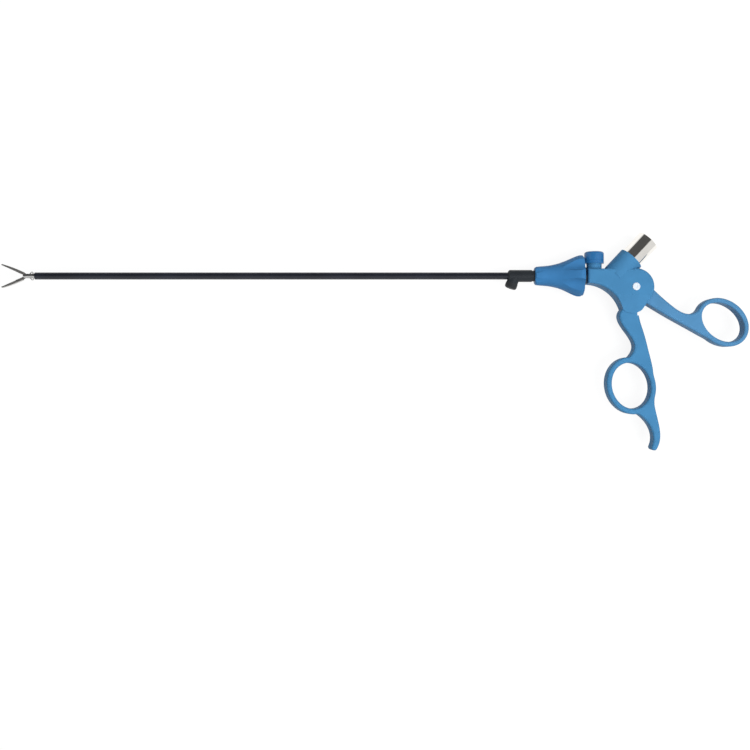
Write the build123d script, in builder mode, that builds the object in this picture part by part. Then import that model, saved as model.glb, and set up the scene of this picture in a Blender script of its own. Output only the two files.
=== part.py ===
"""Bipolar forceps for keyhole surgery, lying on its side.

Millimetres. X runs along the shaft from the jaws (-X) to the handle (+X), Y is up in the plane
of the handle and Z is the thickness. The origin is on the shaft's axis, where the shaft enters
the flush hub.
"""

import os
from math import atan2, cos, degrees, radians, sin, tan

from build123d import *

# Fits
RUNNING_GAP = 0.05
PIECE_GAP = 0.2

# Shaft
SHAFT_LENGTH = 331.0
SLEEVE_RADIUS = 2.5
SLEEVE_WALL = 0.3
TUBE_WALL = 0.35
TUBE_RADIUS = SLEEVE_RADIUS - SLEEVE_WALL
TUBE_BORE_RADIUS = TUBE_RADIUS - TUBE_WALL

# Clevis and jaw pivot
JAW_PIVOT_REACH = 6.6
EAR_RADIUS = 1.4
CLEVIS_RADIUS = 2.2
CLEVIS_SLOT_HALF = 1.7
CLEVIS_SKIRT_LENGTH = 5.0
JAW_PIN_RADIUS = 0.5
SPOOL_RADIUS = 0.8
SPOOL_FLANGE_RADIUS = 1.3
SPOOL_FLANGE_HALF = 0.14

# Jaws, in their closed place with x towards the tip and y away from the bite
JAW_OPEN_ANGLE = 24.0
JAW_LENGTH = 18.3
JAW_HALF_WIDTH = 1.55
JAW_ROOT_HEIGHT = 1.95
JAW_TIP_HEIGHT = 1.05
JAW_BLADE_START = 2.5
JAW_EYE_RADIUS = 1.35
JAW_BOSS_RADIUS = 1.05
JAW_PLATE_NEAR = 0.2
JAW_PLATE_FAR = 0.85
BITE_HALF_GAP = 0.07
TOOTH_PITCH = 0.8
TOOTH_DEPTH = 0.3
TOOTH_COUNT = 13
TOOTH_START = 7.4

# Cam drive of the jaws
DRIVE_PIN_RADIUS = 0.45
DRIVE_PIN_REACH = 1.9
CAM_SLOT_HALF = 0.52
CAM_TAIL_HALF = 0.93
CHEEK_HALF_HEIGHT = 0.7
CHEEK_NEAR = 0.92
CHEEK_FAR = 1.6
CHEEK_LENGTH = 3.8
ROD_HEAD_LENGTH = 3.4

# Push rod
ROD_RADIUS = 0.9
ROD_INSULATION_RADIUS = 1.25
ROD_BARE_START = 62.0
BALL_RADIUS = 2.2

# Flush hub and its port
HUB_LENGTH = 18.5
HUB_RADIUS = 4.2
HUB_CHAMFER = 1.0
HUB_NECK_LENGTH = 2.0
HUB_NECK_RADIUS = 3.8
PORT_PLACE = 4.6
PORT_LEAN = 20.0
PORT_BOSS_RADIUS = 4.0
PORT_BOSS_REACH = 5.5
PORT_RADIUS = 2.6
PORT_BORE_RADIUS = 1.0
PORT_REACH = 8.4
CAP_RADIUS = 4.2
CAP_REACH = 9.3
CAP_CORNER = 1.5

# Hub barrel that runs in the handle's neck
BARREL_RADIUS = 3.6
BARREL_END = 62.0
LATCH_GROOVE_RADIUS = 2.8
LATCH_GROOVE_WIDTH = 1.8
TUBE_END = 66.0
SEAL_START = 50.0
SEAL_LENGTH = 4.0

# Rotation knob: stations along X with the radius at each
KNOB_START = HUB_LENGTH
KNOB_END = 52.0
KNOB_STATIONS = [(0.9, 6.5), (9.4, 7.2), (13.8, 8.0), (18.3, 9.3), (22.8, 11.3), (27.2, 13.5)]
KNOB_RIM_RADIUS = 14.7
KNOB_RIM_START = 30.6
KNOB_NOSE_RADIUS = 5.6
KNOB_RIM_CORNER = 1.2
FLUTE_COUNT = 6
FLUTE_RADIUS = 6.0
FLUTE_RIM_DEPTH = 2.3
FLUTE_START = 19.0
FLUTE_START_RADIUS = 9.5
FLUTE_TURN = 0.0
KNOB_POCKET_RADIUS = 9.2
KNOB_POCKET_INNER = 5.4
KNOB_POCKET_DEPTH = 8.0

# Handle neck
NECK_START = 54.5
NECK_TOP = 4.6
WASHER_RADIUS = 6.0
BUSH_RADIUS = 4.7
BUSH_LENGTH = 4.0

# Thumb lever pivot and drive
PIVOT_X = 87.8
PIVOT_DROP = 8.0
PIVOT = Vector(PIVOT_X, -PIVOT_DROP, 0)
THUMB_RANGE = 22.0
HEAD_RADIUS = 12.8
HEAD_HALF = 8.6
HEAD_FOOT_HALF = 6.4
HEAD_SLOPE_TOP = -13.5
HEAD_SLOPE_FOOT = -26.0
LEVER_HALF = 6.0
LEVER_DISC_RADIUS = 10.9
FORK_HALF_WIDTH = 4.3
LEVER_SLOT_RADIUS = 11.3
LEVER_SLOT_HALF = LEVER_HALF + PIECE_GAP
LEVER_SLOT_REACH = 20.0
LEVER_SLOT_FROM = 3.0
LEVER_SLOT_TO = -86.0
PIVOT_SCREW_RADIUS = 2.0
PIVOT_HEAD_RADIUS = 2.65
PIVOT_HEAD_HEIGHT = 0.7
PIVOT_DIMPLE_RADIUS = 0.9
PIVOT_NUT_RADIUS = 3.2
PIVOT_NUT_DEPTH = 1.6
LEVER_BUSH_RADIUS = 2.9

# Handle stem, finger ring and hook
STEM_HALF = 6.0
FINGER_RING_X = 85.2
FINGER_RING_DROP = 76.8
FINGER_RING = Vector(FINGER_RING_X, -FINGER_RING_DROP, 0)
FINGER_HOLE = (16.2, 13.3)
FINGER_OUTER = (20.1, 17.0)
FINGER_RING_TURN = 105.7
HANDLE_EDGE_ROUND = 1.6
RING_HOLE_ROUND = 1.2

# Thumb ring
THUMB_RING_X = 149.0
THUMB_RING_DROP = 32.6
THUMB_RING = Vector(THUMB_RING_X, -THUMB_RING_DROP, 0)
THUMB_HOLE = (16.3, 11.8)
THUMB_OUTER = (19.3, 15.4)
THUMB_RING_TURN = -37.7

# Release button
BUTTON_X = 60.2
BUTTON_RADIUS = 6.8
BUTTON_BOTTOM = 8.6
BUTTON_TOP = 16.9
BUTTON_CORNER = 1.6
BUTTON_TRAVEL = 1.8
BUTTON_GROOVE_HEIGHT = 10.8
BUTTON_CEILING = 14.4
BUTTON_BOSS_RADIUS = 5.25
BUTTON_BOSS_TOP = 11.5
BUTTON_STEM_RADIUS = 1.4
SPRING_SEAT = 8.4
SPRING_POCKET_RADIUS = 2.7
SPRING_RADIUS = 2.1
SPRING_WIRE_RADIUS = 0.25
SPRING_TURNS = 5
LATCH_PLATE_HALF = 0.7
LATCH_WIDE_RADIUS = 3.75
LATCH_NARROW_RADIUS = 2.9
LATCH_RIM = 1.1

# Connector for the bipolar lead
CONNECTOR_RIM_X = 86.2
CONNECTOR_RIM_RISE = 12.2
CONNECTOR_RIM = Vector(CONNECTOR_RIM_X, CONNECTOR_RIM_RISE, 0)
CONNECTOR_ANGLE = 47.0
CONNECTOR_BOSS_RADIUS = 9.0
CONNECTOR_BOSS_LENGTH = 17.0
CONNECTOR_RADIUS = 8.0
CONNECTOR_BORE_RADIUS = 6.8
CONNECTOR_LENGTH = 17.5
CONNECTOR_SEAT_DEPTH = 3.5
CONNECTOR_SPIGOT_RADIUS = 7.4
INSULATOR_HEIGHT = 5.0
CONTACT_RADIUS = 0.9
CONTACT_SPACING = 3.3
CONTACT_TIP = 11.0

# Places worked out from the sizes above
TUBE_FRONT = -SHAFT_LENGTH
JAW_PIVOT_X = TUBE_FRONT - JAW_PIVOT_REACH
ARM_HEIGHT = -PIVOT.Y
ROD_STROKE = 2 * ARM_HEIGHT * tan(radians(THUMB_RANGE / 2))
DRIVE_PIN_X = JAW_PIVOT_X + DRIVE_PIN_REACH
HEAD_BASE_X = DRIVE_PIN_X + CHEEK_LENGTH
BALL_X = PIVOT.X - ROD_STROKE / 2
ARM_TILT = THUMB_RANGE / 2
CONNECTOR_WAY = Vector(cos(radians(CONNECTOR_ANGLE)), sin(radians(CONNECTOR_ANGLE)), 0)
PORT_WAY = Vector(-sin(radians(PORT_LEAN)), -cos(radians(PORT_LEAN)), 0)
PORT_PLANE = Plane(origin=(PORT_PLACE, 0, 0), x_dir=(0, 0, 1), z_dir=PORT_WAY)
CONNECTOR_PLANE = Plane(origin=CONNECTOR_RIM, x_dir=(0, 0, 1), z_dir=CONNECTOR_WAY)


def save(part, name):
    """Label one finished piece and write it to its own file."""
    part.label = name
    export_step(part, f"parts/{name}.step")


def about_x(start, end, outer, inner=0.0):
    """A plain tube or rod on the shaft's axis."""
    with BuildPart() as tube:
        with BuildSketch(Plane.YZ.offset(start)):
            Circle(outer)
            if inner > 0:
                Circle(inner, mode=Mode.SUBTRACT)
        extrude(amount=end - start)
    return tube.part


def polar(centre, radius, angle):
    """The point at a radius and an angle from a centre, in the XY plane."""
    return centre + Vector(radius * cos(radians(angle)), radius * sin(radians(angle)), 0)


os.makedirs("parts", exist_ok=True)

# Shaft sleeve up to the hub, and the shaft tube with the hole that the flush port opens into
save(about_x(TUBE_FRONT, 0, SLEEVE_RADIUS, TUBE_RADIUS), "shaft_sleeve")

with BuildPart() as shaft_tube:
    add(about_x(TUBE_FRONT + CLEVIS_SKIRT_LENGTH, TUBE_END, TUBE_RADIUS, TUBE_BORE_RADIUS))
    with BuildSketch(PORT_PLANE):
        Circle(PORT_BORE_RADIUS)
    extrude(amount=HUB_RADIUS, mode=Mode.SUBTRACT)
save(shaft_tube.part, "shaft_tube")

# Clevis: two ears round the jaw slot, and a skirt inside the sleeve
with BuildPart() as clevis:
    with BuildSketch(Plane.YZ.offset(JAW_PIVOT_X - EAR_RADIUS)):
        Circle(CLEVIS_RADIUS)
    extrude(amount=JAW_PIVOT_REACH + EAR_RADIUS)
    with BuildSketch():
        with Locations((JAW_PIVOT_X, 0)):
            Circle(EAR_RADIUS)
        with Locations((JAW_PIVOT_X + JAW_PIVOT_REACH, 0)):
            Rectangle(JAW_PIVOT_REACH - EAR_RADIUS, 2 * CLEVIS_RADIUS, align=(Align.MAX, Align.CENTER))
        make_hull()
    extrude(amount=CLEVIS_RADIUS, both=True, mode=Mode.INTERSECT)
    with BuildSketch():
        with Locations((TUBE_FRONT - PIECE_GAP, 0)):
            Rectangle(3 * JAW_PIVOT_REACH, 4 * CLEVIS_RADIUS, align=(Align.MAX, Align.CENTER))
    extrude(amount=CLEVIS_SLOT_HALF, both=True, mode=Mode.SUBTRACT)
    with BuildSketch(Plane.YZ.offset(TUBE_FRONT)):
        Circle(TUBE_RADIUS)
    extrude(amount=CLEVIS_SKIRT_LENGTH)
    with BuildSketch(Plane.YZ.offset(HEAD_BASE_X - PIECE_GAP)):
        Circle(TUBE_BORE_RADIUS)
    extrude(amount=2 * CLEVIS_SKIRT_LENGTH, mode=Mode.SUBTRACT)
    with BuildSketch():
        with Locations((JAW_PIVOT_X, 0)):
            Circle(JAW_PIN_RADIUS)
    extrude(amount=CLEVIS_RADIUS, both=True, mode=Mode.SUBTRACT)
save(clevis.part, "clevis")

with BuildPart() as jaw_pivot_pin:
    with BuildSketch():
        with Locations((JAW_PIVOT_X, 0)):
            Circle(JAW_PIN_RADIUS)
    extrude(amount=CLEVIS_RADIUS - PIECE_GAP / 2, both=True)
save(jaw_pivot_pin.part, "jaw_pivot_pin")

# Ceramic spool on the pin: its flange keeps the two jaws apart
with BuildPart() as pivot_insulator:
    with BuildSketch():
        with Locations((JAW_PIVOT_X, 0)):
            Circle(SPOOL_RADIUS)
    extrude(amount=CLEVIS_SLOT_HALF, both=True)
    with BuildSketch():
        with Locations((JAW_PIVOT_X, 0)):
            Circle(SPOOL_FLANGE_RADIUS)
    extrude(amount=SPOOL_FLANGE_HALF, both=True)
    with BuildSketch():
        with Locations((JAW_PIVOT_X, 0)):
            Circle(JAW_PIN_RADIUS)
    extrude(amount=CLEVIS_SLOT_HALF, both=True, mode=Mode.SUBTRACT)
save(pivot_insulator.part, "pivot_insulator")


def cam_point(travel_share):
    """Centre of the drive pin in a closed jaw's frame after a share of the rod's stroke."""
    reach = DRIVE_PIN_REACH + ROD_STROKE * travel_share
    angle = radians(JAW_OPEN_ANGLE * (1 - travel_share))
    return (-reach * cos(angle), reach * sin(angle))


def build_jaw(plane):
    """One jaw: eye plate with its boss, cam tail, neck and toothed blade."""
    plate = plane.offset(JAW_PLATE_NEAR)
    with BuildPart() as jaw:
        # Eye, cam tail and neck are one plate on one side of the pivot's middle
        with BuildSketch(plate):
            Circle(JAW_EYE_RADIUS)
            with BuildLine():
                cam_line = ThreePointArc(cam_point(0), cam_point(0.5), cam_point(1))
            SlotArc(cam_line, 2 * CAM_TAIL_HALF)
        extrude(amount=JAW_PLATE_FAR - JAW_PLATE_NEAR)
        with BuildSketch(plate):
            Circle(JAW_EYE_RADIUS)
            with Locations((JAW_BLADE_START, (JAW_ROOT_HEIGHT + JAW_BOSS_RADIUS / 4) / 2)):
                Rectangle(2 * PIECE_GAP, JAW_ROOT_HEIGHT - JAW_BOSS_RADIUS / 4)
            make_hull()
        extrude(amount=JAW_PLATE_FAR - JAW_PLATE_NEAR)
        with BuildSketch(plate):
            Circle(JAW_BOSS_RADIUS)
        extrude(amount=CLEVIS_SLOT_HALF - JAW_PLATE_NEAR - RUNNING_GAP)
        # Blade: flat bite, back bowed outwards, rounded tip
        with BuildSketch(plane):
            with BuildLine():
                Line((JAW_BLADE_START, BITE_HALF_GAP), (JAW_LENGTH - JAW_TIP_HEIGHT / 2, BITE_HALF_GAP))
                ThreePointArc(
                    (JAW_LENGTH - JAW_TIP_HEIGHT / 2, BITE_HALF_GAP),
                    (JAW_LENGTH, JAW_TIP_HEIGHT / 2 + BITE_HALF_GAP),
                    (JAW_LENGTH - JAW_TIP_HEIGHT / 2, JAW_TIP_HEIGHT),
                )
                ThreePointArc(
                    (JAW_LENGTH - JAW_TIP_HEIGHT / 2, JAW_TIP_HEIGHT),
                    (JAW_LENGTH * 0.55, JAW_ROOT_HEIGHT * 0.92),
                    (JAW_BLADE_START, JAW_ROOT_HEIGHT),
                )
                Line((JAW_BLADE_START, JAW_ROOT_HEIGHT), (JAW_BLADE_START, BITE_HALF_GAP))
            make_face()
        extrude(amount=JAW_HALF_WIDTH, both=True)
        with BuildSketch(Plane(origin=plane.from_local_coords((0, 0, 0)), x_dir=plane.z_dir, z_dir=plane.x_dir)):
            Circle(SLEEVE_RADIUS - RUNNING_GAP)
        extrude(amount=JAW_LENGTH + JAW_EYE_RADIUS, both=True, mode=Mode.INTERSECT)
        # Saw teeth across the bite
        with BuildSketch(plane):
            with Locations([(TOOTH_START + index * TOOTH_PITCH, BITE_HALF_GAP) for index in range(TOOTH_COUNT)]):
                Polygon((0, 0), (TOOTH_PITCH * 0.9, 0), (TOOTH_PITCH * 0.25, TOOTH_DEPTH), align=None)
        extrude(amount=JAW_HALF_WIDTH, both=True, mode=Mode.SUBTRACT)
        # Cam slot and pivot hole
        with BuildSketch(plane):
            SlotArc(cam_line, 2 * CAM_SLOT_HALF)
        extrude(amount=CLEVIS_SLOT_HALF, mode=Mode.SUBTRACT)
        with BuildSketch(plane):
            Circle(SPOOL_RADIUS + RUNNING_GAP)
        extrude(amount=CLEVIS_SLOT_HALF, mode=Mode.SUBTRACT)
    return jaw.part


open_cos = cos(radians(JAW_OPEN_ANGLE))
open_sin = sin(radians(JAW_OPEN_ANGLE))
UPPER_JAW_PLANE = Plane(origin=(JAW_PIVOT_X, 0, 0), x_dir=(-open_cos, open_sin, 0), z_dir=(0, 0, -1))
LOWER_JAW_PLANE = Plane(origin=(JAW_PIVOT_X, 0, 0), x_dir=(-open_cos, -open_sin, 0), z_dir=(0, 0, 1))
save(build_jaw(UPPER_JAW_PLANE), "upper_jaw")
save(build_jaw(LOWER_JAW_PLANE), "lower_jaw")

# Rod head: a white fork whose cheeks carry the drive pin outside the two cam tails
with BuildPart() as rod_head:
    with BuildSketch(Plane.XY.offset(CHEEK_NEAR)):
        with Locations((DRIVE_PIN_X, 0)):
            Circle(CHEEK_HALF_HEIGHT)
            Rectangle(CHEEK_LENGTH, 2 * CHEEK_HALF_HEIGHT, align=(Align.MIN, Align.CENTER))
    extrude(amount=CHEEK_FAR - CHEEK_NEAR)
    mirror(about=Plane.XY)
    with BuildSketch(Plane.YZ.offset(HEAD_BASE_X)):
        Circle(TUBE_BORE_RADIUS - RUNNING_GAP)
    extrude(amount=ROD_HEAD_LENGTH)
    with BuildSketch():
        with Locations((DRIVE_PIN_X, 0)):
            Circle(DRIVE_PIN_RADIUS)
    extrude(amount=CHEEK_FAR, both=True, mode=Mode.SUBTRACT)
    with BuildSketch(Plane.YZ.offset(HEAD_BASE_X + ROD_RADIUS)):
        Circle(ROD_RADIUS)
    extrude(amount=ROD_HEAD_LENGTH, mode=Mode.SUBTRACT)
save(rod_head.part, "rod_head")

with BuildPart() as drive_pin:
    with BuildSketch():
        with Locations((DRIVE_PIN_X, 0)):
            Circle(DRIVE_PIN_RADIUS)
    extrude(amount=CHEEK_FAR, both=True)
save(drive_pin.part, "drive_pin")

ROD_FRONT = HEAD_BASE_X + ROD_RADIUS
INSULATION_FRONT = HEAD_BASE_X + ROD_HEAD_LENGTH
ROD_REAR = BALL_X + BALL_RADIUS / 2
save(about_x(ROD_FRONT, ROD_REAR, ROD_RADIUS), "push_rod")
save(about_x(INSULATION_FRONT, ROD_BARE_START, ROD_INSULATION_RADIUS, ROD_RADIUS), "rod_insulation")

with BuildPart() as rod_ball:
    with Locations((BALL_X, 0, 0)):
        Sphere(BALL_RADIUS)
    add(about_x(ROD_FRONT, ROD_REAR, ROD_RADIUS), mode=Mode.SUBTRACT)
save(rod_ball.part, "rod_ball")

# Seal in the tube's rear end, round the rod's insulation
seal = about_x(SEAL_START, SEAL_START + SEAL_LENGTH, TUBE_BORE_RADIUS, ROD_INSULATION_RADIUS + RUNNING_GAP)
save(seal, "rod_seal")

# Flush hub: turned body, leaning port boss and port, and the barrel with its latch groove
with BuildPart() as flush_hub:
    with BuildSketch(Plane.YZ):
        Circle(HUB_RADIUS)
    extrude(amount=HUB_LENGTH - HUB_NECK_LENGTH)
    chamfer(flush_hub.edges().sort_by(Axis.X)[0], HUB_CHAMFER)
    add(about_x(HUB_LENGTH - HUB_NECK_LENGTH, HUB_LENGTH, HUB_NECK_RADIUS))
    with BuildSketch(PORT_PLANE):
        Circle(PORT_BOSS_RADIUS)
    extrude(amount=PORT_BOSS_REACH)
    with BuildSketch(PORT_PLANE.offset(PORT_BOSS_REACH)):
        Circle(PORT_RADIUS)
    extrude(amount=PORT_REACH - PORT_BOSS_REACH)
    add(about_x(HUB_LENGTH, BARREL_END, BARREL_RADIUS))
    groove_start = BUTTON_X - LATCH_GROOVE_WIDTH / 2
    add(
        about_x(groove_start, groove_start + LATCH_GROOVE_WIDTH, 2 * BARREL_RADIUS, LATCH_GROOVE_RADIUS),
        mode=Mode.SUBTRACT,
    )
    # The leaning boss stays clear of the sleeve in front of the hub
    with BuildSketch(Plane.YZ):
        Circle(SLEEVE_RADIUS + PIECE_GAP)
    extrude(amount=-2 * PORT_BOSS_RADIUS, mode=Mode.SUBTRACT)
    with BuildSketch(Plane.YZ):
        Circle(TUBE_RADIUS)
    extrude(amount=BARREL_END, mode=Mode.SUBTRACT)
    with BuildSketch(PORT_PLANE):
        Circle(PORT_BORE_RADIUS)
    extrude(amount=2 * PORT_REACH, mode=Mode.SUBTRACT)
save(flush_hub.part, "flush_hub")

# Rubber cap over the flush port
with BuildPart() as flush_cap:
    with BuildSketch(PORT_PLANE.offset(PORT_BOSS_REACH + RUNNING_GAP)):
        Circle(CAP_RADIUS)
    extrude(amount=CAP_REACH - PORT_BOSS_REACH - RUNNING_GAP)
    fillet(flush_cap.edges().sort_by(Axis(PORT_PLANE.origin, PORT_WAY))[-1], CAP_CORNER)
    with BuildSketch(PORT_PLANE):
        Circle(PORT_RADIUS + RUNNING_GAP)
    extrude(amount=PORT_REACH + RUNNING_GAP, mode=Mode.SUBTRACT)
save(flush_cap.part, "flush_cap")

# Rotation knob: turned body flaring to the rim, six flutes and a cored back
with BuildPart() as rotation_knob:
    with BuildSketch():
        with BuildLine():
            nose = [(KNOB_START, 0), (KNOB_START, KNOB_NOSE_RADIUS)]
            flare = [(KNOB_START + along, radius) for along, radius in KNOB_STATIONS]
            rim = (KNOB_START + KNOB_RIM_START, KNOB_RIM_RADIUS)
            Polyline(nose + flare[:1])
            Spline(flare + [rim], tangents=[(1, 0.1), (1, 0.25)])
            Polyline(rim, (KNOB_END, KNOB_RIM_RADIUS), (KNOB_END, 0), (KNOB_START, 0))
        make_face()
    revolve(axis=Axis.X)
    fillet(rotation_knob.edges().filter_by(GeomType.CIRCLE).sort_by(Axis.X)[-1], KNOB_RIM_CORNER)
    flute_rim_x = KNOB_END - KNOB_START
    flute_rim_radius = KNOB_RIM_RADIUS - FLUTE_RIM_DEPTH
    flute_tilt = degrees(atan2(flute_rim_radius - FLUTE_START_RADIUS, flute_rim_x - FLUTE_START))
    flute_middle_x = KNOB_START + (flute_rim_x + FLUTE_START) / 2
    flute_middle_radius = (flute_rim_radius + FLUTE_START_RADIUS) / 2
    for index in range(FLUTE_COUNT):
        turn = FLUTE_TURN + index * 360 / FLUTE_COUNT
        outward = Vector(0, cos(radians(turn)), sin(radians(turn)))
        along = Vector(cos(radians(flute_tilt)), 0, 0) + outward * sin(radians(flute_tilt))
        across = outward * cos(radians(flute_tilt)) - Vector(sin(radians(flute_tilt)), 0, 0)
        middle = Vector(flute_middle_x, 0, 0) + outward * flute_middle_radius + across * FLUTE_RADIUS
        with BuildSketch(Plane(origin=middle, x_dir=across, z_dir=along)):
            Circle(FLUTE_RADIUS)
        extrude(amount=KNOB_END - KNOB_START, both=True, mode=Mode.SUBTRACT)
    pocket_start = KNOB_END - KNOB_POCKET_DEPTH
    add(about_x(pocket_start, KNOB_END, KNOB_POCKET_RADIUS, KNOB_POCKET_INNER), mode=Mode.SUBTRACT)
    add(about_x(KNOB_START, KNOB_END, BARREL_RADIUS), mode=Mode.SUBTRACT)
save(rotation_knob.part, "rotation_knob")

washer = about_x(KNOB_END + RUNNING_GAP, NECK_START, WASHER_RADIUS, BARREL_RADIUS + RUNNING_GAP)
save(washer, "thrust_washer")
bush = about_x(NECK_START, NECK_START + BUSH_LENGTH, BUSH_RADIUS, BARREL_RADIUS + RUNNING_GAP)
save(bush, "front_bush")


def latch_outline(wide, narrow, drop):
    """Outline round a wide circle above the axis and a narrow one, both swept down by a drop."""
    with Locations((0, BUTTON_TRAVEL), (0, BUTTON_TRAVEL - drop)):
        Circle(wide)
    with Locations((0, 0), (0, -drop)):
        Circle(narrow)
    make_hull()


# Plane across the shaft at the release button, with x along +Z and y up
BUTTON_SECTION = Plane(origin=(BUTTON_X, 0, 0), x_dir=(0, 0, -1), z_dir=(1, 0, 0))
BUTTON_PLANE = Plane(origin=(BUTTON_X, 0, 0), x_dir=(1, 0, 0), z_dir=(0, 1, 0))

# Fixed handle: thick head and neck, slimmer stem, finger ring and hook in one moulding
THROAT = [(NECK_START, -5.6), (69.6, -10.45), (79.2, -24.0)]
HEAD_FOOT = [THROAT[2], (86.0, -26.4), (92.4, -23.9)]
STEM_FRONT = [(83.0, -20.0), (76.9, -29.6), (84.1, -41.8), (87.3, -50.2), (84.7, -55.7), (78.0, -60.0)]
STEM_REAR = [(90.4, -18.0), (91.1, -30.9), (94.1, -40.6), (97.6, -53.9), (100.6, -69.0), (98.0, -82.0)]
HOOK_REAR = [(100.4, -76.0), (100.9, -88.0), (104.5, -104.0), (105.4, -112.0), (103.0, -120.8)]
HOOK_TIP = (100.9, -121.8)
HOOK_FRONT = [(99.2, -119.4), (100.4, -111.7), (96.6, -102.7), (86.0, -94.4)]
HEAD_CORNERS = [(THROAT[2], 3.0), (HEAD_FOOT[2], 2.0)]
STEM_CORNERS = [((80.6, -57.5), 2.0), ((89.0, -96.0), 4.0), ((100.2, -67.9), 20.0), ((100.8, -86.8), 20.0)]

with BuildPart() as fixed_handle:
    with BuildSketch() as head_outline:
        with BuildLine():
            throat = ThreePointArc(*THROAT)
            foot = ThreePointArc(*HEAD_FOOT)
            lobe = polar(PIVOT, HEAD_RADIUS, -45)
            Polyline(foot @ 1, lobe, PIVOT, (PIVOT.X, NECK_TOP), (NECK_START, NECK_TOP), throat @ 0)
        make_face()
        with Locations(PIVOT):
            Circle(HEAD_RADIUS)
        for corner, radius in HEAD_CORNERS:
            fillet(head_outline.vertices().sort_by_distance(corner)[0], radius)
    extrude(amount=HEAD_HALF, both=True)
    fillet(fixed_handle.faces().filter_by(Axis.Z).edges(), HANDLE_EDGE_ROUND)
    # Both faces slope down to the stem
    with BuildSketch(Plane.YZ):
        for side in (1, -1):
            Polygon(
                (HEAD_SLOPE_TOP, side * HEAD_HALF),
                (HEAD_SLOPE_FOOT, side * HEAD_FOOT_HALF),
                (2 * HEAD_SLOPE_FOOT, side * HEAD_FOOT_HALF),
                (2 * HEAD_SLOPE_FOOT, 2 * side * HEAD_HALF),
                (HEAD_SLOPE_TOP, 2 * side * HEAD_HALF),
                align=None,
            )
    extrude(amount=2 * PIVOT_X, mode=Mode.SUBTRACT)

with BuildPart() as stem:
    with BuildSketch() as stem_outline:
        with BuildLine():
            front = Spline(STEM_FRONT)
            rear = Spline(STEM_REAR)
            Line(front @ 1, rear @ 1)
            Line(front @ 0, rear @ 0)
        make_face()
        with Locations(FINGER_RING):
            Ellipse(*FINGER_OUTER, rotation=FINGER_RING_TURN)
        with BuildLine():
            hook_rear = Spline(HOOK_REAR)
            hook_front = Spline(HOOK_FRONT)
            ThreePointArc(hook_rear @ 1, HOOK_TIP, hook_front @ 0)
            Line(hook_front @ 1, hook_rear @ 0)
        make_face()
        with Locations(FINGER_RING):
            Ellipse(*FINGER_HOLE, rotation=FINGER_RING_TURN, mode=Mode.SUBTRACT)
        for corner, radius in STEM_CORNERS:
            fillet(stem_outline.vertices().sort_by_distance(corner)[0], radius)
    extrude(amount=STEM_HALF, both=True)
    fillet(stem.faces().filter_by(Axis.Z).edges(), HANDLE_EDGE_ROUND)

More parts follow.
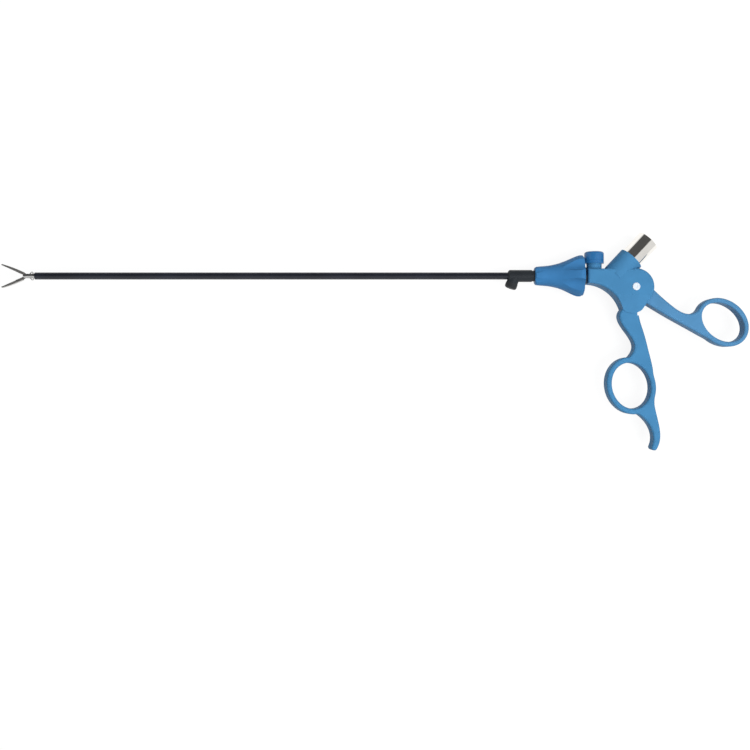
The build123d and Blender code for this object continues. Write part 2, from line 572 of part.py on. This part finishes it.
with fixed_handle:
    add(stem.part)
    # Boss of the connector and boss of the release button
    with BuildSketch(CONNECTOR_PLANE):
        Circle(CONNECTOR_BOSS_RADIUS)
    extrude(amount=-CONNECTOR_BOSS_LENGTH)
    with BuildSketch(BUTTON_PLANE.offset(NECK_TOP - HANDLE_EDGE_ROUND - 1)):
        Circle(BUTTON_BOSS_RADIUS)
    extrude(amount=BUTTON_BOSS_TOP - NECK_TOP + HANDLE_EDGE_ROUND + 1)
    # Slot for the lever, open to the rear and downwards
    with BuildSketch():
        with Locations(PIVOT):
            Circle(LEVER_SLOT_RADIUS)
        with BuildLine():
            sweep_line = CenterArc(PIVOT, LEVER_SLOT_REACH, LEVER_SLOT_FROM, LEVER_SLOT_TO - LEVER_SLOT_FROM)
            Polyline(sweep_line @ 1, PIVOT, sweep_line @ 0)
        make_face()
    extrude(amount=LEVER_SLOT_HALF, both=True, mode=Mode.SUBTRACT)
    # Bores on the shaft's axis: bush seat, barrel, tube end and rod
    bores = [
        (NECK_START, NECK_START + BUSH_LENGTH, BUSH_RADIUS),
        (NECK_START, BARREL_END + 2 * PIECE_GAP, BARREL_RADIUS + PIECE_GAP),
        (BARREL_END, TUBE_END + PIECE_GAP, TUBE_RADIUS + 3 * PIECE_GAP),
        (TUBE_END, PIVOT.X, ROD_RADIUS + 3 * PIECE_GAP),
    ]
    for start, end, radius in bores:
        add(about_x(start, end, radius), mode=Mode.SUBTRACT)
    # Latch pocket, stem hole and spring pocket
    with BuildSketch(BUTTON_SECTION):
        latch_outline(
            LATCH_WIDE_RADIUS + LATCH_RIM + PIECE_GAP, LATCH_NARROW_RADIUS + LATCH_RIM, BUTTON_TRAVEL
        )
    extrude(amount=LATCH_PLATE_HALF + PIECE_GAP / 2, both=True, mode=Mode.SUBTRACT)
    with BuildSketch(BUTTON_PLANE):
        Circle(BUTTON_STEM_RADIUS + RUNNING_GAP)
    extrude(amount=BUTTON_BOSS_TOP, mode=Mode.SUBTRACT)
    with BuildSketch(BUTTON_PLANE.offset(SPRING_SEAT)):
        Circle(SPRING_POCKET_RADIUS)
    extrude(amount=BUTTON_BOSS_TOP, mode=Mode.SUBTRACT)
    # Seat of the connector and the way for its contacts
    with BuildSketch(CONNECTOR_PLANE.offset(-CONNECTOR_SEAT_DEPTH)):
        Circle(CONNECTOR_SPIGOT_RADIUS)
    extrude(amount=CONNECTOR_SEAT_DEPTH, mode=Mode.SUBTRACT)
    with BuildSketch(CONNECTOR_PLANE):
        Circle(CONNECTOR_BOSS_RADIUS)
    extrude(amount=CONNECTOR_LENGTH, mode=Mode.SUBTRACT)
    with BuildSketch(CONNECTOR_PLANE.offset(-CONNECTOR_SEAT_DEPTH)):
        SlotOverall(
            2 * (CONTACT_SPACING + CONTACT_RADIUS + PIECE_GAP), 2 * (CONTACT_RADIUS + PIECE_GAP), rotation=90
        )
    extrude(amount=-CONNECTOR_BOSS_LENGTH + CONNECTOR_SEAT_DEPTH, mode=Mode.SUBTRACT)
    # Pivot screw hole and nut seat
    with BuildSketch(Plane.XY.offset(-HEAD_HALF)):
        with Locations(PIVOT):
            Circle(PIVOT_SCREW_RADIUS)
    extrude(amount=2 * HEAD_HALF, mode=Mode.SUBTRACT)
    with BuildSketch(Plane.XY.offset(-HEAD_HALF)):
        with Locations(PIVOT):
            Circle(PIVOT_NUT_RADIUS)
    extrude(amount=PIVOT_NUT_DEPTH, mode=Mode.SUBTRACT)
save(fixed_handle.part, "fixed_handle")

# Thumb lever: arm and ring in one moulding, with a disc on the pivot and a fork up to the rod's ball
LEVER_TOP = [
    (97.0, -6.0), (102.7, -11.7), (113.0, -20.7), (119.0, -24.9), (126.0, -26.8), (131.5, -24.8), (141.0, -21.0),
]
LEVER_BOTTOM = [
    (145.0, -46.9), (136.5, -42.9), (126.6, -37.4), (114.4, -30.7), (102.3, -23.6), (96.0, -19.8), (89.3, -16.0),
]
LEVER_CORNERS = [((134.2, -22.3), 6.0), ((143.9, -47.3), 20.0)]

FORK_PLANE = Plane(origin=PIVOT, x_dir=(cos(radians(ARM_TILT)), sin(radians(ARM_TILT)), 0), z_dir=(0, 0, 1))

with BuildPart() as thumb_lever:
    with BuildSketch() as lever_outline:
        with BuildLine():
            top = Spline(LEVER_TOP)
            bottom = Spline(LEVER_BOTTOM)
            Line(top @ 1, bottom @ 0)
            Line(bottom @ 1, top @ 0)
        make_face()
        with Locations(THUMB_RING):
            Ellipse(*THUMB_OUTER, rotation=THUMB_RING_TURN)
            Ellipse(*THUMB_HOLE, rotation=THUMB_RING_TURN, mode=Mode.SUBTRACT)
        for corner, radius in LEVER_CORNERS:
            fillet(lever_outline.vertices().sort_by_distance(corner)[0], radius)
    extrude(amount=LEVER_HALF, both=True)
    rims = thumb_lever.faces().filter_by(Axis.Z).edges().sort_by(SortBy.LENGTH)
    fillet(rims[:-2], HANDLE_EDGE_ROUND)
    hole_rims = thumb_lever.faces().filter_by(Axis.Z).edges().sort_by_distance(THUMB_RING)
    fillet(hole_rims[:2], RING_HOLE_ROUND)
    with BuildSketch():
        with Locations(PIVOT):
            Circle(LEVER_DISC_RADIUS)
    extrude(amount=LEVER_HALF, both=True)
    # Above the pivot only the fork is left of the disc
    with BuildSketch(FORK_PLANE):
        with Locations((-FORK_HALF_WIDTH, LEVER_BUSH_RADIUS + 1)):
            Rectangle(LEVER_DISC_RADIUS, LEVER_DISC_RADIUS, align=(Align.MAX, Align.MIN))
        with Locations((FORK_HALF_WIDTH, LEVER_BUSH_RADIUS + 1)):
            Rectangle(LEVER_DISC_RADIUS, LEVER_DISC_RADIUS, align=(Align.MIN, Align.MIN))
        with Locations((0, ARM_HEIGHT - BALL_RADIUS - 2 * PIECE_GAP)):
            Rectangle(2 * (BALL_RADIUS + RUNNING_GAP), LEVER_DISC_RADIUS, align=(Align.CENTER, Align.MIN))
    extrude(amount=LEVER_HALF, both=True, mode=Mode.SUBTRACT)
    # The front prong is split where the rod passes
    with BuildSketch(FORK_PLANE):
        with Locations((0, ARM_HEIGHT - ROD_RADIUS - 2 * PIECE_GAP - LEVER_DISC_RADIUS * sin(radians(ARM_TILT)))):
            Rectangle(LEVER_DISC_RADIUS, LEVER_DISC_RADIUS, align=(Align.MAX, Align.MIN))
    extrude(amount=ROD_RADIUS + PIECE_GAP, both=True, mode=Mode.SUBTRACT)
    with BuildSketch():
        with Locations(PIVOT):
            Circle(LEVER_BUSH_RADIUS)
    extrude(amount=LEVER_HALF, both=True, mode=Mode.SUBTRACT)
save(thumb_lever.part, "thumb_lever")

with BuildPart() as lever_bush:
    with BuildSketch():
        with Locations(PIVOT):
            Circle(LEVER_BUSH_RADIUS)
            Circle(PIVOT_SCREW_RADIUS + RUNNING_GAP, mode=Mode.SUBTRACT)
    extrude(amount=LEVER_HALF, both=True)
save(lever_bush.part, "lever_bush")

# Pivot screw with its bright domed head, and the nut sunk in the far side
with BuildPart() as pivot_screw:
    with BuildSketch(Plane.XY.offset(HEAD_HALF)):
        with Locations(PIVOT):
            Circle(PIVOT_HEAD_RADIUS)
    extrude(amount=PIVOT_HEAD_HEIGHT)
    fillet(pivot_screw.edges().sort_by(Axis.Z)[-1], PIVOT_HEAD_HEIGHT * 0.6)
    with BuildSketch(Plane.XY.offset(HEAD_HALF + PIVOT_HEAD_HEIGHT)):
        with Locations(PIVOT):
            Circle(PIVOT_DIMPLE_RADIUS)
    extrude(amount=-PIVOT_HEAD_HEIGHT / 3, mode=Mode.SUBTRACT)
    with BuildSketch(Plane.XY.offset(-HEAD_HALF)):
        with Locations(PIVOT):
            Circle(PIVOT_SCREW_RADIUS)
    extrude(amount=2 * HEAD_HALF)
save(pivot_screw.part, "pivot_screw")

with BuildPart() as pivot_nut:
    with BuildSketch(Plane.XY.offset(-HEAD_HALF)):
        with Locations(PIVOT):
            RegularPolygon(PIVOT_NUT_RADIUS, 6)
            Circle(PIVOT_SCREW_RADIUS, mode=Mode.SUBTRACT)
    extrude(amount=PIVOT_NUT_DEPTH)
save(pivot_nut.part, "pivot_nut")

# Release button: a cap over the boss, pressed towards the shaft
with BuildPart() as release_button:
    with BuildSketch(BUTTON_PLANE.offset(BUTTON_BOTTOM)):
        Circle(BUTTON_RADIUS)
    extrude(amount=BUTTON_TOP - BUTTON_BOTTOM)
    fillet(release_button.edges().sort_by(Axis.Y)[-1], BUTTON_CORNER)
    with BuildSketch(Plane(origin=(BUTTON_X, BUTTON_GROOVE_HEIGHT, 0), z_dir=(0, 0, 1))):
        with Locations((BUTTON_RADIUS, 0)):
            Circle(PIECE_GAP)
    revolve(axis=Axis((BUTTON_X, 0, 0), (0, 1, 0)), mode=Mode.SUBTRACT)
    with BuildSketch(BUTTON_PLANE.offset(BUTTON_BOTTOM)):
        Circle(BUTTON_BOSS_RADIUS + PIECE_GAP)
    extrude(amount=BUTTON_CEILING - BUTTON_BOTTOM, mode=Mode.SUBTRACT)
    with BuildSketch(BUTTON_PLANE.offset(BUTTON_CEILING)):
        Circle(BUTTON_STEM_RADIUS)
    extrude(amount=BUTTON_STEM_RADIUS, mode=Mode.SUBTRACT)
save(release_button.part, "release_button")

# Latch plate with its stem; its keyhole holds the barrel's groove until the button is pressed
with BuildPart() as latch_plate:
    with BuildSketch(BUTTON_SECTION):
        latch_outline(LATCH_WIDE_RADIUS + LATCH_RIM, LATCH_NARROW_RADIUS + LATCH_RIM - PIECE_GAP, 0)
    extrude(amount=LATCH_PLATE_HALF, both=True)
    with BuildSketch(BUTTON_SECTION):
        with Locations((0, BUTTON_TRAVEL)):
            Circle(LATCH_WIDE_RADIUS)
        Circle(LATCH_NARROW_RADIUS)
    extrude(amount=LATCH_PLATE_HALF, both=True, mode=Mode.SUBTRACT)
    with BuildSketch(BUTTON_PLANE.offset(BUTTON_TRAVEL + LATCH_WIDE_RADIUS + LATCH_RIM / 2)):
        Circle(BUTTON_STEM_RADIUS)
    extrude(amount=BUTTON_CEILING + BUTTON_STEM_RADIUS - BUTTON_TRAVEL - LATCH_WIDE_RADIUS - LATCH_RIM / 2)
save(latch_plate.part, "latch_plate")

# Button spring between the boss's pocket and the cap's ceiling
spring_rise = BUTTON_CEILING - SPRING_SEAT - 2 * SPRING_WIRE_RADIUS
with BuildPart() as button_spring:
    with BuildLine():
        coil = Helix(
            pitch=spring_rise / SPRING_TURNS,
            height=spring_rise,
            radius=SPRING_RADIUS,
            center=(BUTTON_X, SPRING_SEAT + SPRING_WIRE_RADIUS, 0),
            direction=(0, 1, 0),
        )
    with BuildSketch(Plane(origin=coil @ 0, z_dir=coil % 0)):
        Circle(SPRING_WIRE_RADIUS)
    sweep(path=coil, is_frenet=True)
save(button_spring.part, "button_spring")

# Connector: chrome sleeve, insulator and two contact pins with their strips
with BuildPart() as connector_sleeve:
    with BuildSketch(CONNECTOR_PLANE.offset(-CONNECTOR_SEAT_DEPTH)):
        Circle(CONNECTOR_SPIGOT_RADIUS)
    extrude(amount=CONNECTOR_SEAT_DEPTH)
    with BuildSketch(CONNECTOR_PLANE):
        Circle(CONNECTOR_RADIUS)
    extrude(amount=CONNECTOR_LENGTH)
    with BuildSketch(CONNECTOR_PLANE.offset(-CONNECTOR_SEAT_DEPTH)):
        Circle(CONNECTOR_BORE_RADIUS)
    extrude(amount=CONNECTOR_SEAT_DEPTH + CONNECTOR_LENGTH, mode=Mode.SUBTRACT)
    mouth = connector_sleeve.edges().filter_by(GeomType.CIRCLE).sort_by(Axis(CONNECTOR_RIM, CONNECTOR_WAY))[-2:]
    chamfer(mouth, PIECE_GAP)
save(connector_sleeve.part, "connector_sleeve")

CONTACT_PLACES = [(0, -CONTACT_SPACING), (0, CONTACT_SPACING)]
with BuildPart() as connector_insulator:
    with BuildSketch(CONNECTOR_PLANE.offset(-CONNECTOR_SEAT_DEPTH)):
        Circle(CONNECTOR_BORE_RADIUS)
        with Locations(CONTACT_PLACES):
            Circle(CONTACT_RADIUS, mode=Mode.SUBTRACT)
    extrude(amount=CONNECTOR_SEAT_DEPTH + INSULATOR_HEIGHT)
save(connector_insulator.part, "connector_insulator")


def build_contact(place, wiper_height):
    """A contact pin through the insulator, ending beside the conductor that it feeds."""
    side = CONNECTOR_PLANE.from_local_coords((*place, 0))
    reach = (side.Y - wiper_height) / CONNECTOR_WAY.Y
    with BuildPart() as contact:
        with BuildSketch(CONNECTOR_PLANE.offset(CONTACT_TIP)):
            with Locations(place):
                Circle(CONTACT_RADIUS)
        extrude(amount=-(CONTACT_TIP + reach))
        with BuildSketch(Plane.XZ.offset(-wiper_height)):
            with Locations((side.X, 0)):
                Rectangle(8 * CONTACT_SPACING, 8 * CONTACT_SPACING)
        extrude(amount=2 * CONTACT_RADIUS, mode=Mode.SUBTRACT)
    return contact.part


save(build_contact(CONTACT_PLACES[0], TUBE_RADIUS + RUNNING_GAP), "tube_contact")
save(build_contact(CONTACT_PLACES[1], ROD_RADIUS + RUNNING_GAP), "rod_contact")
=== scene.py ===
"""Looks of the bipolar forceps: camera, studio and materials.

Metres, in the frame of the CAD model: X along the shaft to the handle, Y up in the plane of the
handle, Z across its thickness and towards the camera.
"""

import bmesh
import bpy
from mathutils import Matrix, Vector


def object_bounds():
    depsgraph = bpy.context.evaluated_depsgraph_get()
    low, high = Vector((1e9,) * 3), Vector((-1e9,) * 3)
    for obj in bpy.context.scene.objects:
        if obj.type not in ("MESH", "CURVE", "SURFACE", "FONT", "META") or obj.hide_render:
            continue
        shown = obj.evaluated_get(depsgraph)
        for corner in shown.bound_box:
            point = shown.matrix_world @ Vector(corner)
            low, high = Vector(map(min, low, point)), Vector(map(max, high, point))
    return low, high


MM = 0.001
ORIGIN = Vector((0, 0, 0))

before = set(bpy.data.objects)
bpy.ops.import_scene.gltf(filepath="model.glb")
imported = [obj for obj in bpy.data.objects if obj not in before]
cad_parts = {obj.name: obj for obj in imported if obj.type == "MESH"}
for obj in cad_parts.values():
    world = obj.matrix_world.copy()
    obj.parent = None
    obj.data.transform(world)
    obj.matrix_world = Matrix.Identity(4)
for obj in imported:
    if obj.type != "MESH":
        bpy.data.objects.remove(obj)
cad_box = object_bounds()

# Camera above the table, looking straight down as in the photograph
VIEW_CENTRE = Vector((-93.1, -69.3, 0)) * MM
VIEW_WIDTH = 525 * MM
CAMERA_HEIGHT = 750 * MM
SENSOR_WIDTH = 36
CLIP_START = 10 * MM

# Studio
LIGHT_SIZE = 0.9
KEY_PLACE = Vector((0.40, -0.30, 1.05))
KEY_POWER = 12.5
FILL_PLACE = Vector((-0.2, 0.6, 1.0))
FILL_POWER = 3.0
SKY_STRENGTH = 0.50
FLOOR_SIZE = 3.0
FLOOR_GLOW = 0.88
FLOOR_PALE = 0.14
FLOOR_BOUNCE = 0.3
FLOOR_GAP = 0.1 * MM

# The dark ceiling patch that the metal mirrors: its middle as a direction, and the cosines
# between which its rim fades
FLAG_WAY = Vector((-0.15, 0.60, 0.78)).normalized()
FLAG_INNER = 0.725
FLAG_OUTER = 0.67
FLAG_GLOW = 0.10
MIRRORED_WHITE = 0.95

# The part of a noise's values that is spread over a range
NOISE_LOW = 0.3
NOISE_HIGH = 0.7

# Sockets of the colour mix node
MIX_FIRST = 6
MIX_SECOND = 7
MIX_RESULT = 2

# Linear colours
BODY_BLUE = (0.057, 0.208, 0.400)
LEVER_BLUE = (0.077, 0.225, 0.415)
BUTTON_BLUE = (0.020, 0.140, 0.350)
KNOB_BLUE = (0.038, 0.168, 0.375)
HUB_BLACK = (0.020, 0.024, 0.029)
RUBBER_BLACK = (0.014, 0.016, 0.019)
SLEEVE_BLACK = (0.008, 0.010, 0.017)
CHROME_COLOUR = (0.93, 0.905, 0.86)
JAW_COLOUR = (0.56, 0.55, 0.53)
CLEVIS_COLOUR = (0.68, 0.68, 0.67)
SCREW_COLOUR = (0.66, 0.72, 0.80)
STEEL_COLOUR = (0.50, 0.50, 0.50)
# Painted shade: the thrust washer's steel is darkened so that it reads as the shaded joint between
# knob and neck
PAINTED_SHADE_STEEL_COLOUR = (0.10, 0.12, 0.15)
CERAMIC_WHITE = (0.80, 0.79, 0.74)
INSULATOR_WHITE = (0.76, 0.76, 0.73)
BRONZE_COLOUR = (0.50, 0.30, 0.13)
BRASS_COLOUR = (0.75, 0.53, 0.20)


def make_camera():
    data = bpy.data.cameras.new("photo_camera")
    data.sensor_width = SENSOR_WIDTH
    data.lens = SENSOR_WIDTH * CAMERA_HEIGHT / VIEW_WIDTH
    data.clip_start = CLIP_START
    camera = bpy.data.objects.new("photo_camera", data)
    camera.location = VIEW_CENTRE + Vector((0, 0, CAMERA_HEIGHT))
    bpy.context.scene.collection.objects.link(camera)
    bpy.context.scene.camera = camera


def make_area_light(name, place, power):
    """A square lamp that points at the origin and isn't mirrored in the metal."""
    data = bpy.data.lights.new(name, "AREA")
    data.energy = power
    data.size = LIGHT_SIZE
    lamp = bpy.data.objects.new(name, data)
    lamp.visible_glossy = False
    lamp.location = place
    lamp.rotation_euler = (ORIGIN - place).to_track_quat("-Z", "Y").to_euler()
    bpy.context.scene.collection.objects.link(lamp)


def any_ray(tree, kinds):
    """A value that is 1 for the camera's rays and the named kinds of ray, and 0 for the others."""
    path = tree.nodes.new("ShaderNodeLightPath")
    total = path.outputs["Is Camera Ray"]
    for name in kinds:
        either = tree.nodes.new("ShaderNodeMath")
        either.operation = "MAXIMUM"
        tree.links.new(total, either.inputs[0])
        tree.links.new(path.outputs[name], either.inputs[1])
        total = either.outputs[0]
    return total


def make_world():
    """White to the camera. The object is lit by a pale sky, and metal mirrors a dark patch."""
    world = bpy.data.worlds.new("studio")
    bpy.context.scene.world = world
    world.use_nodes = True
    tree = world.node_tree
    tree.nodes.clear()
    way = tree.nodes.new("ShaderNodeTexCoord")
    toward = tree.nodes.new("ShaderNodeVectorMath")
    toward.operation = "DOT_PRODUCT"
    toward.inputs[1].default_value = FLAG_WAY
    tree.links.new(way.outputs["Generated"], toward.inputs[0])
    patch = tree.nodes.new("ShaderNodeMapRange")
    patch.interpolation_type = "SMOOTHSTEP"
    patch.inputs["From Min"].default_value = FLAG_OUTER
    patch.inputs["From Max"].default_value = FLAG_INNER
    patch.inputs["To Min"].default_value = MIRRORED_WHITE
    patch.inputs["To Max"].default_value = FLAG_GLOW
    tree.links.new(toward.outputs["Value"], patch.inputs["Value"])
    lit = tree.nodes.new("ShaderNodeBackground")
    lit.inputs["Strength"].default_value = SKY_STRENGTH
    mirrored = tree.nodes.new("ShaderNodeBackground")
    tree.links.new(patch.outputs["Result"], mirrored.inputs["Strength"])
    shown = tree.nodes.new("ShaderNodeBackground")
    shown.inputs["Color"].default_value = (1, 1, 1, 1)
    path = tree.nodes.new("ShaderNodeLightPath")
    glossy = tree.nodes.new("ShaderNodeMixShader")
    tree.links.new(path.outputs["Is Glossy Ray"], glossy.inputs["Fac"])
    tree.links.new(lit.outputs[0], glossy.inputs[1])
    tree.links.new(mirrored.outputs[0], glossy.inputs[2])
    mix = tree.nodes.new("ShaderNodeMixShader")
    out = tree.nodes.new("ShaderNodeOutputWorld")
    tree.links.new(any_ray(tree, ["Is Transmission Ray"]), mix.inputs["Fac"])
    tree.links.new(glossy.outputs[0], mix.inputs[1])
    tree.links.new(shown.outputs[0], mix.inputs[2])
    tree.links.new(mix.outputs[0], out.inputs["Surface"])


def make_floor():
    """A white table that keeps a faint shadow."""
    material = bpy.data.materials.new("white_table")
    material.use_nodes = True
    tree = material.node_tree
    tree.nodes.clear()
    lit = tree.nodes.new("ShaderNodeBsdfDiffuse")
    lit.inputs["Color"].default_value = (FLOOR_BOUNCE, FLOOR_BOUNCE, FLOOR_BOUNCE, 1)
    faint = tree.nodes.new("ShaderNodeBsdfDiffuse")
    faint.inputs["Color"].default_value = (FLOOR_PALE, FLOOR_PALE, FLOOR_PALE, 1)
    glow = tree.nodes.new("ShaderNodeEmission")
    glow.inputs["Strength"].default_value = FLOOR_GLOW
    shown = tree.nodes.new("ShaderNodeAddShader")
    mix = tree.nodes.new("ShaderNodeMixShader")
    out = tree.nodes.new("ShaderNodeOutputMaterial")
    tree.links.new(faint.outputs[0], shown.inputs[0])
    tree.links.new(glow.outputs[0], shown.inputs[1])
    background = any_ray(tree, ["Is Glossy Ray", "Is Transmission Ray"])
    tree.links.new(background, mix.inputs["Fac"])
    tree.links.new(lit.outputs[0], mix.inputs[1])
    tree.links.new(shown.outputs[0], mix.inputs[2])
    tree.links.new(mix.outputs[0], out.inputs["Surface"])
    mesh = bpy.data.meshes.new("table")
    grid = bmesh.new()
    bmesh.ops.create_grid(grid, x_segments=1, y_segments=1, size=FLOOR_SIZE / 2)
    grid.to_mesh(mesh)
    grid.free()
    table = bpy.data.objects.new("table", mesh)
    table.location = (0, 0, cad_box[0][2] - FLOOR_GAP)
    mesh.materials.append(material)
    bpy.context.scene.collection.objects.link(table)


class Surface:
    """One procedural material: a Principled shader with helpers for its texture nodes."""

    def __init__(self, name, colour, roughness, metallic=0.0):
        self.material = bpy.data.materials.new(name)
        self.material.use_nodes = True
        self.tree = self.material.node_tree
        self.shader = self.tree.nodes["Principled BSDF"]
        self.colour = colour
        self.shader.inputs["Base Color"].default_value = (*colour, 1)
        self.shader.inputs["Roughness"].default_value = roughness
        self.shader.inputs["Metallic"].default_value = metallic
        self.place = self.tree.nodes.new("ShaderNodeTexCoord").outputs["Object"]
        self.height = None

    def noise(self, size, detail=2.0, stretch=(1, 1, 1)):
        """Noise whose features are about a size across, in metres, stretched along the axes."""
        mapping = self.tree.nodes.new("ShaderNodeMapping")
        mapping.inputs["Scale"].default_value = [1 / (size * share) for share in stretch]
        texture = self.tree.nodes.new("ShaderNodeTexNoise")
        texture.inputs["Scale"].default_value = 1.0
        texture.inputs["Detail"].default_value = detail
        self.tree.links.new(self.place, mapping.inputs["Vector"])
        self.tree.links.new(mapping.outputs[0], texture.inputs["Vector"])
        return texture.outputs["Fac"]

    def spread(self, value, low, high):
        """Map the middle of a noise to a range."""
        spread = self.tree.nodes.new("ShaderNodeMapRange")
        spread.inputs["From Min"].default_value = NOISE_LOW
        spread.inputs["From Max"].default_value = NOISE_HIGH
        spread.inputs["To Min"].default_value = low
        spread.inputs["To Max"].default_value = high
        self.tree.links.new(value, spread.inputs["Value"])
        return spread.outputs["Result"]

    def tint(self, value, low, high):
        """Let the colour vary in brightness between two factors."""
        mix = self.tree.nodes.new("ShaderNodeMix")
        mix.data_type = "RGBA"
        mix.inputs[MIX_FIRST].default_value = (*[channel * low for channel in self.colour], 1)
        mix.inputs[MIX_SECOND].default_value = (*[channel * high for channel in self.colour], 1)
        self.tree.links.new(self.spread(value, 0, 1), mix.inputs["Factor"])
        self.tree.links.new(mix.outputs[MIX_RESULT], self.shader.inputs["Base Color"])

    def rough(self, value, low, high):
        self.tree.links.new(self.spread(value, low, high), self.shader.inputs["Roughness"])

    def bump(self, value, depth, strength=1.0):
        """Raise the surface by a value, with its full depth in metres. Bumps stack."""
        bump = self.tree.nodes.new("ShaderNodeBump")
        bump.inputs["Strength"].default_value = strength
        bump.inputs["Distance"].default_value = depth
        self.tree.links.new(value, bump.inputs["Height"])
        if self.height is not None:
            self.tree.links.new(self.height, bump.inputs["Normal"])
        self.height = bump.outputs[0]
        self.tree.links.new(self.height, self.shader.inputs["Normal"])


def moulded_plastic(name, colour, roughness, gloss=0.07, grain=0.35 * MM, grain_depth=0.012 * MM):
    """Satin moulded plastic with a fine spark-eroded grain and soft flow variation."""
    surface = Surface(name, colour, roughness)
    surface.shader.inputs["Specular IOR Level"].default_value = gloss
    surface.tint(surface.noise(14 * MM, 3), 0.93, 1.06)
    surface.rough(surface.noise(5 * MM, 2), roughness - 0.04, roughness + 0.05)
    surface.bump(surface.noise(grain, 2), grain_depth)
    surface.bump(surface.noise(9 * MM, 1), 0.05 * MM, 0.25)
    return surface.material


def rubber(name, colour):
    """Matt moulded rubber with a fine uneven skin."""
    surface = Surface(name, colour, 0.6)
    surface.tint(surface.noise(4 * MM, 3), 0.8, 1.3)
    surface.rough(surface.noise(2 * MM, 2), 0.52, 0.72)
    surface.bump(surface.noise(0.25 * MM, 3), 0.02 * MM)
    return surface.material


def shrink_sleeve(name, colour):
    """Extruded insulation: smooth, with faint draw lines along the shaft."""
    surface = Surface(name, colour, 0.34)
    surface.shader.inputs["Coat Weight"].default_value = 0.08
    surface.shader.inputs["Coat Roughness"].default_value = 0.22
    surface.tint(surface.noise(25 * MM, 3), 0.75, 1.35)
    surface.rough(surface.noise(3 * MM, 2, (12, 0.4, 0.4)), 0.28, 0.42)
    surface.bump(surface.noise(0.5 * MM, 2, (40, 0.5, 0.5)), 0.01 * MM)
    return surface.material


def brushed_metal(name, colour, roughness, grain=0.12 * MM, depth=0.006 * MM):
    """Steel or bronze with fine lines along the shaft."""
    stretch = (14, 1, 1)
    surface = Surface(name, colour, roughness, 1.0)
    surface.tint(surface.noise(2.5 * MM, 3), 0.88, 1.08)
    surface.rough(surface.noise(0.8 * MM, 3, stretch), roughness * 0.75, roughness * 1.35)
    surface.bump(surface.noise(grain, 2, stretch), depth)
    return surface.material


def polished_metal(name, colour, roughness):
    """Smooth metal with slight wear in its shine."""
    surface = Surface(name, colour, roughness, 1.0)
    surface.tint(surface.noise(6 * MM, 2), 0.96, 1.03)
    surface.rough(surface.noise(3 * MM, 4), roughness * 0.6, roughness * 1.7)
    surface.bump(surface.noise(5 * MM, 1), 0.01 * MM, 0.3)
    return surface.material


def ceramic(name, colour):
    """Glazed ceramic or enamel."""
    surface = Surface(name, colour, 0.3)
    surface.tint(surface.noise(1.5 * MM, 2), 0.94, 1.04)
    surface.rough(surface.noise(1 * MM, 2), 0.24, 0.38)
    surface.bump(surface.noise(0.2 * MM, 2), 0.004 * MM)
    return surface.material


def dress(materials):
    """Give every CAD node its material."""
    for node, material in materials.items():
        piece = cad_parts[node]
        piece.data.materials.clear()
        piece.data.materials.append(material)


def make_materials():
    body = moulded_plastic("blue_body", BODY_BLUE, 0.48)
    lever = moulded_plastic("blue_lever", LEVER_BLUE, 0.46)
    knob = moulded_plastic("blue_knob", KNOB_BLUE, 0.42, gloss=0.12)
    button = moulded_plastic("blue_button", BUTTON_BLUE, 0.24, gloss=0.45, grain_depth=0.004 * MM)
    hub = moulded_plastic("black_hub", HUB_BLACK, 0.42, gloss=0.2)
    cap = rubber("black_cap", RUBBER_BLACK)
    sleeve = shrink_sleeve("black_sleeve", SLEEVE_BLACK)
    jaw = brushed_metal("jaw_steel", JAW_COLOUR, 0.34)
    clevis = polished_metal("clevis_steel", CLEVIS_COLOUR, 0.16)
    screw = ceramic("screw_enamel", SCREW_COLOUR)
    steel = brushed_metal("plain_steel", STEEL_COLOUR, 0.30)
    # Painted shade on the thrust washer: dark steel standing in for the shadow in the joint
    # between knob and neck
    painted_shade_steel = brushed_metal("painted_shade_steel", PAINTED_SHADE_STEEL_COLOUR, 0.45)
    chrome = polished_metal("chrome", CHROME_COLOUR, 0.07)
    white = ceramic("pivot_ceramic", CERAMIC_WHITE)
    insulator = moulded_plastic("insulator_white", INSULATOR_WHITE, 0.42, gloss=0.3)
    bronze = brushed_metal("bronze", BRONZE_COLOUR, 0.35)
    brass = polished_metal("brass", BRASS_COLOUR, 0.18)
    dress({
        "fixed_handle": body,
        "thumb_lever": lever,
        "rotation_knob": knob,
        "release_button": button,
        "flush_hub": hub,
        "flush_cap": cap,
        "rod_seal": cap,
        "shaft_sleeve": sleeve,
        "shaft_tube": steel,
        "upper_jaw": jaw,
        "lower_jaw": jaw,
        "clevis": clevis,
        "jaw_pivot_pin": clevis,
        "drive_pin": clevis,
        "pivot_insulator": white,
        "rod_head": insulator,
        "rod_insulation": insulator,
        "connector_insulator": insulator,
        "push_rod": steel,
        "rod_ball": steel,
        "thrust_washer": painted_shade_steel,
        "pivot_nut": steel,
        "latch_plate": steel,
        "button_spring": steel,
        "pivot_screw": screw,
        "connector_sleeve": chrome,
        "front_bush": bronze,
        "lever_bush": bronze,
        "tube_contact": brass,
        "rod_contact": brass,
    })


make_camera()
make_world()
make_area_light("key", KEY_PLACE, KEY_POWER)
make_area_light("fill", FILL_PLACE, FILL_POWER)
make_floor()
make_materials()

bpy.context.scene.view_settings.view_transform = "Standard"
